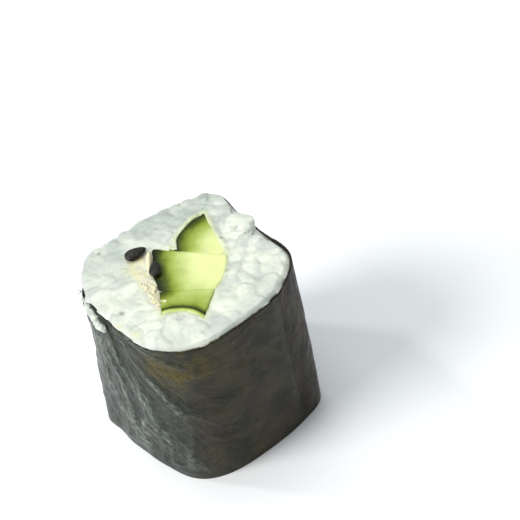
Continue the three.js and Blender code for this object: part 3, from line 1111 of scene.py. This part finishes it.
# %% The knife's cut
KNIFE = HEIGHT + 0.14 * MM
PLAIN = HEIGHT - 0.12 * MM
PROUD_GRAIN = (12.9, 2.0)  # mm
BY_STRIP = (-7.6, -8.6)  # mm
STICK_RISE = 0.16 * MM
RIM_DROP = 0.35 * MM
LUMPS = 0.09 * MM
proud = plan_distance(points, *PROUD_GRAIN) < 2.6 * MM
knife = np.where(proud, KNIFE + 0.3 * MM, KNIFE)
points[:, 2] = np.where(points[:, 2] > knife, knife + 0.3 * (points[:, 2] - knife), points[:, 2])
relief_share = 0.20 + 0.18 * ease(points[:, 0], -4 * MM, 9 * MM)
relief_share += 0.35 * fade(plan_distance(points, *BY_STRIP), 3.6 * MM)
relief_share = np.where(proud, points[:, 2] > PLAIN, relief_share)
flat = ease(points[:, 2], HEIGHT - 1.2 * MM, HEIGHT - 0.6 * MM) * (1 - relief_share)
points[:, 2] += (PLAIN - points[:, 2]) * flat
upper = ease(points[:, 2], HEIGHT - 1.5 * MM, HEIGHT - 0.6 * MM) * (1 - 0.8 * proud)
beside = 1 - ease(stick_distance(points), 0.2 * MM, 1.2 * MM)
rise = STICK_RISE * beside * ease(points[:, 0], -1 * MM, 4 * MM)
angle, reach = polar(points)
to_rim = reach / plan_radius(angle)
in_front = ease(np.cos(angle - math.radians(290)), 0, 0.7)
points[:, 2] += upper * (rise - RIM_DROP * ease(to_rim, 0.95, 1.01) * in_front)
points[:, 2] += LUMPS * upper * (noise_at(points, 330) + 0.5 * noise_at(points, 1100))
points[:, 2] = np.maximum(points[:, 2], HEIGHT - SLAB)
write_points(rice_top.data, points)
cut_out_sticks(rice_top)
print("upper face after the cut:", stand_in_roll(rice_top, grains), "points")

# %% Lower cut face and core
FOOT_VOXEL = 0.22 * MM
bm = plan_prism(snug, 0.5 * MM, SLAB)
grains = crowd_grains(bm, rng, -0.25 * MM, -1, 104, RIM_GRAINS, [])
rice_foot = fuse(object_from(bm, "rice_lower_face"), FOOT_VOXEL, 2)
points = press_into_sheet(read_points(rice_foot.data))
points[:, 2] = np.clip(points[:, 2], 0, SLAB)
write_points(rice_foot.data, points)
cut_out_sticks(rice_foot)
print("lower face:", len(grains), "grains,", stand_in_roll(rice_foot, grains), "points")

rice_core = object_from(plan_prism(snug, SLAB + 0.02 * MM, HEIGHT - SLAB - 0.02 * MM), "rice_core")
cut_out_sticks(rice_core)
write_points(rice_core.data, settle(read_points(rice_core.data)))
print("core:", round((HEIGHT - 2 * SLAB) / MM, 1), "mm tall")

# %% [markdown]
# Where the sheet laps over itself, the roll's pressing has squeezed bits of rice out over the
# outer edge. They are small grains of the same kind, sitting on the step that the lap makes.

# %% Rice squeezed out over the lap
# Direction in degrees, length in mm, how far out from the inner layer, and height over the lap's
# edge, in mm.
SQUEEZED = [
    {"at": 143, "long": 0.9, "out": 0.95, "up": 0.45},
    {"at": 148.5, "long": 1.3, "out": 0.75, "up": 0.35},
    {"at": 153, "long": 1.6, "out": 0.62, "up": 0.20},
    {"at": 157, "long": 1.9, "out": 0.60, "up": 0.15},
    {"at": 161, "long": 1.8, "out": 0.65, "up": 0.10},
    {"at": 164.5, "long": 2.0, "out": 0.72, "up": 0.00},
    {"at": 168, "long": 2.0, "out": 0.85, "up": -0.25},
    {"at": 171, "long": 2.0, "out": 0.92, "up": -0.45},
    {"at": 174, "long": 1.6, "out": 0.85, "up": -0.25},
    {"at": 169.5, "long": 1.3, "out": 1.05, "up": -0.90},
]
BIT_VOXEL = 0.1 * MM
BIT_JITTER = 0.22 * MM  # how far the bits' surface is roughened
BIT_SEED = 3
bm = bmesh.new()
grains = []
for bit in SQUEEZED:
    angle = math.radians(bit["at"])
    place = plan_point(angle, bit["out"] * MM, NORI_TOP - LAP_DROP + bit["up"] * MM)
    turn = grain_turn(angle + math.pi / 2, rng.uniform(-0.5, 0.5), rng.uniform(-1, 1))
    size = (bit["long"] * MM, bit["long"] * 0.7 * MM, bit["long"] * 0.6 * MM)
    grains.append(add_grain(bm, place, turn, size, rng))
rice_squeezed = fuse(object_from(bm, "rice_squeezed_bits"), BIT_VOXEL, 2)
points = read_points(rice_squeezed.data)
noise.seed_set(BIT_SEED)  # otherwise these vectors come from the clock, and differ in each run
points += np.array([noise.noise_vector(Vector(p) * 1500) for p in points]) * BIT_JITTER
write_points(rice_squeezed.data, points)
print("squeezed bits:", len(grains), "with", stand_in_roll(rice_squeezed, grains, clearness=1.0), "points")

for cutter in cutters:
    bpy.data.objects.remove(cutter)

# %% [markdown]
# Rice scatters light inside each grain, so its colour is set by subsurface scattering: a cool
# white that is greyer in clear patches, towards the back and the front of the face and at the
# proud grain's outer end, and darkened in the creases between grains by painted shade. A wet
# skin on top gives small sharp highlights.

# %% Rice finish
rice_finish, tree, shader = new_finish("sticky rice")
coords = own_place(tree)
cloud = noise_over(tree, coords, 420, detail=4)
patch = noise_over(tree, coords, 170, detail=3)
of_grain = times(tree, painted(tree, "tint"), 0.24)
of_cloud = times(tree, cloud, 0.42)
of_patch = times(tree, patch, 0.42)
milky = calculate(tree, "ADD", calculate(tree, "ADD", of_grain, of_cloud), of_patch)
grain_white = blend_colour(tree, remap(tree, milky, 0.36, 0.60), (0.50, 0.535, 0.475), (0.71, 0.73, 0.615))
# What is painted on the rice, how strongly it shows, and its colour.
PAINTS = [
    # clear greys the rice in clear patches, and towards the back and the front of the face.
    ("clear", 0.6, (0.34, 0.39, 0.35)),
    # The crease colour is painted shade in the creases between grains.
    ("crease", 0.14, (0.44, 0.50, 0.44)),
    ("juice", 0.75, (0.66, 0.72, 0.34)),
    ("speck", 0.7, (0.17, 0.18, 0.13)),
    ("stain", 0.95, (0.71, 0.67, 0.40)),
]
rice_colour = grain_white
for name, strength, colour in PAINTS:
    rice_colour = blend_colour(tree, times(tree, painted(tree, name), strength), rice_colour, colour)
tree.links.new(rice_colour, shader.inputs["Base Color"])
shader.inputs["Subsurface Weight"].default_value = 0.8
shader.inputs["Subsurface Radius"].default_value = (0.9, 1.0, 0.85)
shader.inputs["Subsurface Scale"].default_value = 1.7 * MM
shader.inputs["Roughness"].default_value = 0.36
shader.inputs["Coat Weight"].default_value = 0.6
shader.inputs["Coat Roughness"].default_value = 0.09
skin = noise_over(tree, coords, 1300, detail=4, roughness=0.62)
wet = noise_over(tree, coords, 3600, detail=2)
uneven = bump(tree, skin, 0.09 * MM, 0.7)
tree.links.new(bump(tree, wet, 0.025 * MM, 0.7, under=uneven), shader.inputs["Normal"])
for piece in (rice_top, rice_foot, rice_core, rice_squeezed):
    piece.data.materials.clear()
    piece.data.materials.append(rice_finish)
    joins_roll(piece, "rice")

# %% [markdown]
# ## Sesame
#
# A sesame seed is a flat drop about 3.4 mm long, round at one end and pointed at the other. Two
# black ones lie on the rice beside the cucumber, with a white one on its edge between them.
# Further along, small chips of crushed white seeds lie half sunk along the cucumber's skin.

# %% Sesame seeds
SEED_LENGTH = 3.4 * MM
SEED_WIDTH = 1.9 * MM
SEED_DEPTH = 0.95 * MM
# Places in mm from the top's middle, height over the cut faces, heading of the pointed end and
# bank in degrees.
BLACK_SEEDS = [
    {"x": -3.0, "y": 8.65, "up": 0.42, "heading": 352, "bank": 6, "size": 1.08},
    {"x": -2.9, "y": 3.5, "up": 0.55, "heading": 55, "bank": 0, "size": 0.93},
]
WHITE_SEEDS = [
    {"x": -2.45, "y": 5.9, "up": -0.40, "heading": 233, "bank": 84, "size": 1.28},
]
CHIPS = 34  # crushed seeds, along the last part of the trail
CHIP_SEED = 7


def add_seed(bm, spot):
    fineness = 4 if spot["size"] > 0.6 else 2
    ball = bmesh.ops.create_icosphere(bm, subdivisions=fineness, radius=1)["verts"]
    turn = grain_turn(math.radians(spot["heading"]), 0, math.radians(spot["bank"])).to_3x3()
    place = Vector((spot["x"], spot["y"], HEIGHT / MM + spot["up"])) * MM + TOP_MIDDLE
    for v in ball:
        along, side, high = v.co
        along = math.copysign(abs(along) ** 0.9, along)
        pointed = 1.0 - 0.36 * along
        plump = 1 - 0.2 * along
        shaped = Vector((along * SEED_LENGTH, side * pointed * SEED_WIDTH, high * plump * SEED_DEPTH))
        v.co = turn @ (shaped * (spot["size"] / 2)) + place


def crushed_seeds(rng, count):
    """Small flat bits of seed, scattered beside the cucumber."""
    spots = []
    for n in range(count):
        t = (n + rng.random()) / count * 1.999  # runs over the trail's last two legs
        ax, ay = SESAME_TRAIL[3 + int(t)]
        bx, by = SESAME_TRAIL[4 + int(t)]
        share = t % 1
        spots.append(
            {
                "x": ax + (bx - ax) * share + rng.uniform(-0.9, 0.5),
                "y": ay + (by - ay) * share,
                "up": rng.uniform(-0.20, -0.04),
                "heading": rng.uniform(0, 360),
                "bank": rng.uniform(-30, 30),
                "size": rng.uniform(0.20, 0.40),
            }
        )
    return spots


def seeds_object(name, spots):
    bm = bmesh.new()
    for spot in spots:
        add_seed(bm, spot)
    return smooth_shaded(object_from(bm, name))


def seed_finish(name, middle, rim, speck):
    finish, tree, shader = new_finish(name)
    coords = own_place(tree)
    specks = noise_over(tree, coords, 2600, detail=3, roughness=0.7)
    cloud = noise_over(tree, coords, 700)
    base = blend_colour(tree, remap(tree, cloud, 0.35, 0.65), rim, middle)
    speckled = blend_colour(tree, remap(tree, specks, 0.5, 0.7), base, speck)
    tree.links.new(speckled, shader.inputs["Base Color"])
    shader.inputs["Roughness"].default_value = 0.46
    shader.inputs["Specular IOR Level"].default_value = 0.3
    tree.links.new(bump(tree, specks, 0.07 * MM, 0.9), shader.inputs["Normal"])
    return finish


# Of each kind, the seeds, and the colours of its middle, its rim and its specks.
SESAME = {
    "black": (BLACK_SEEDS, [(0.012, 0.010, 0.006), (0.006, 0.005, 0.003), (0.060, 0.052, 0.036)]),
    "white": (
        WHITE_SEEDS + crushed_seeds(random.Random(CHIP_SEED), CHIPS),
        [(0.74, 0.71, 0.50), (0.70, 0.66, 0.42), (0.52, 0.45, 0.26)],
    ),
}
for kind, (spots, colours) in SESAME.items():
    seeds = seeds_object("sesame_" + kind, spots)
    seeds.data.materials.append(seed_finish(kind + " sesame", *colours))
    joins_roll(seeds, "rice")
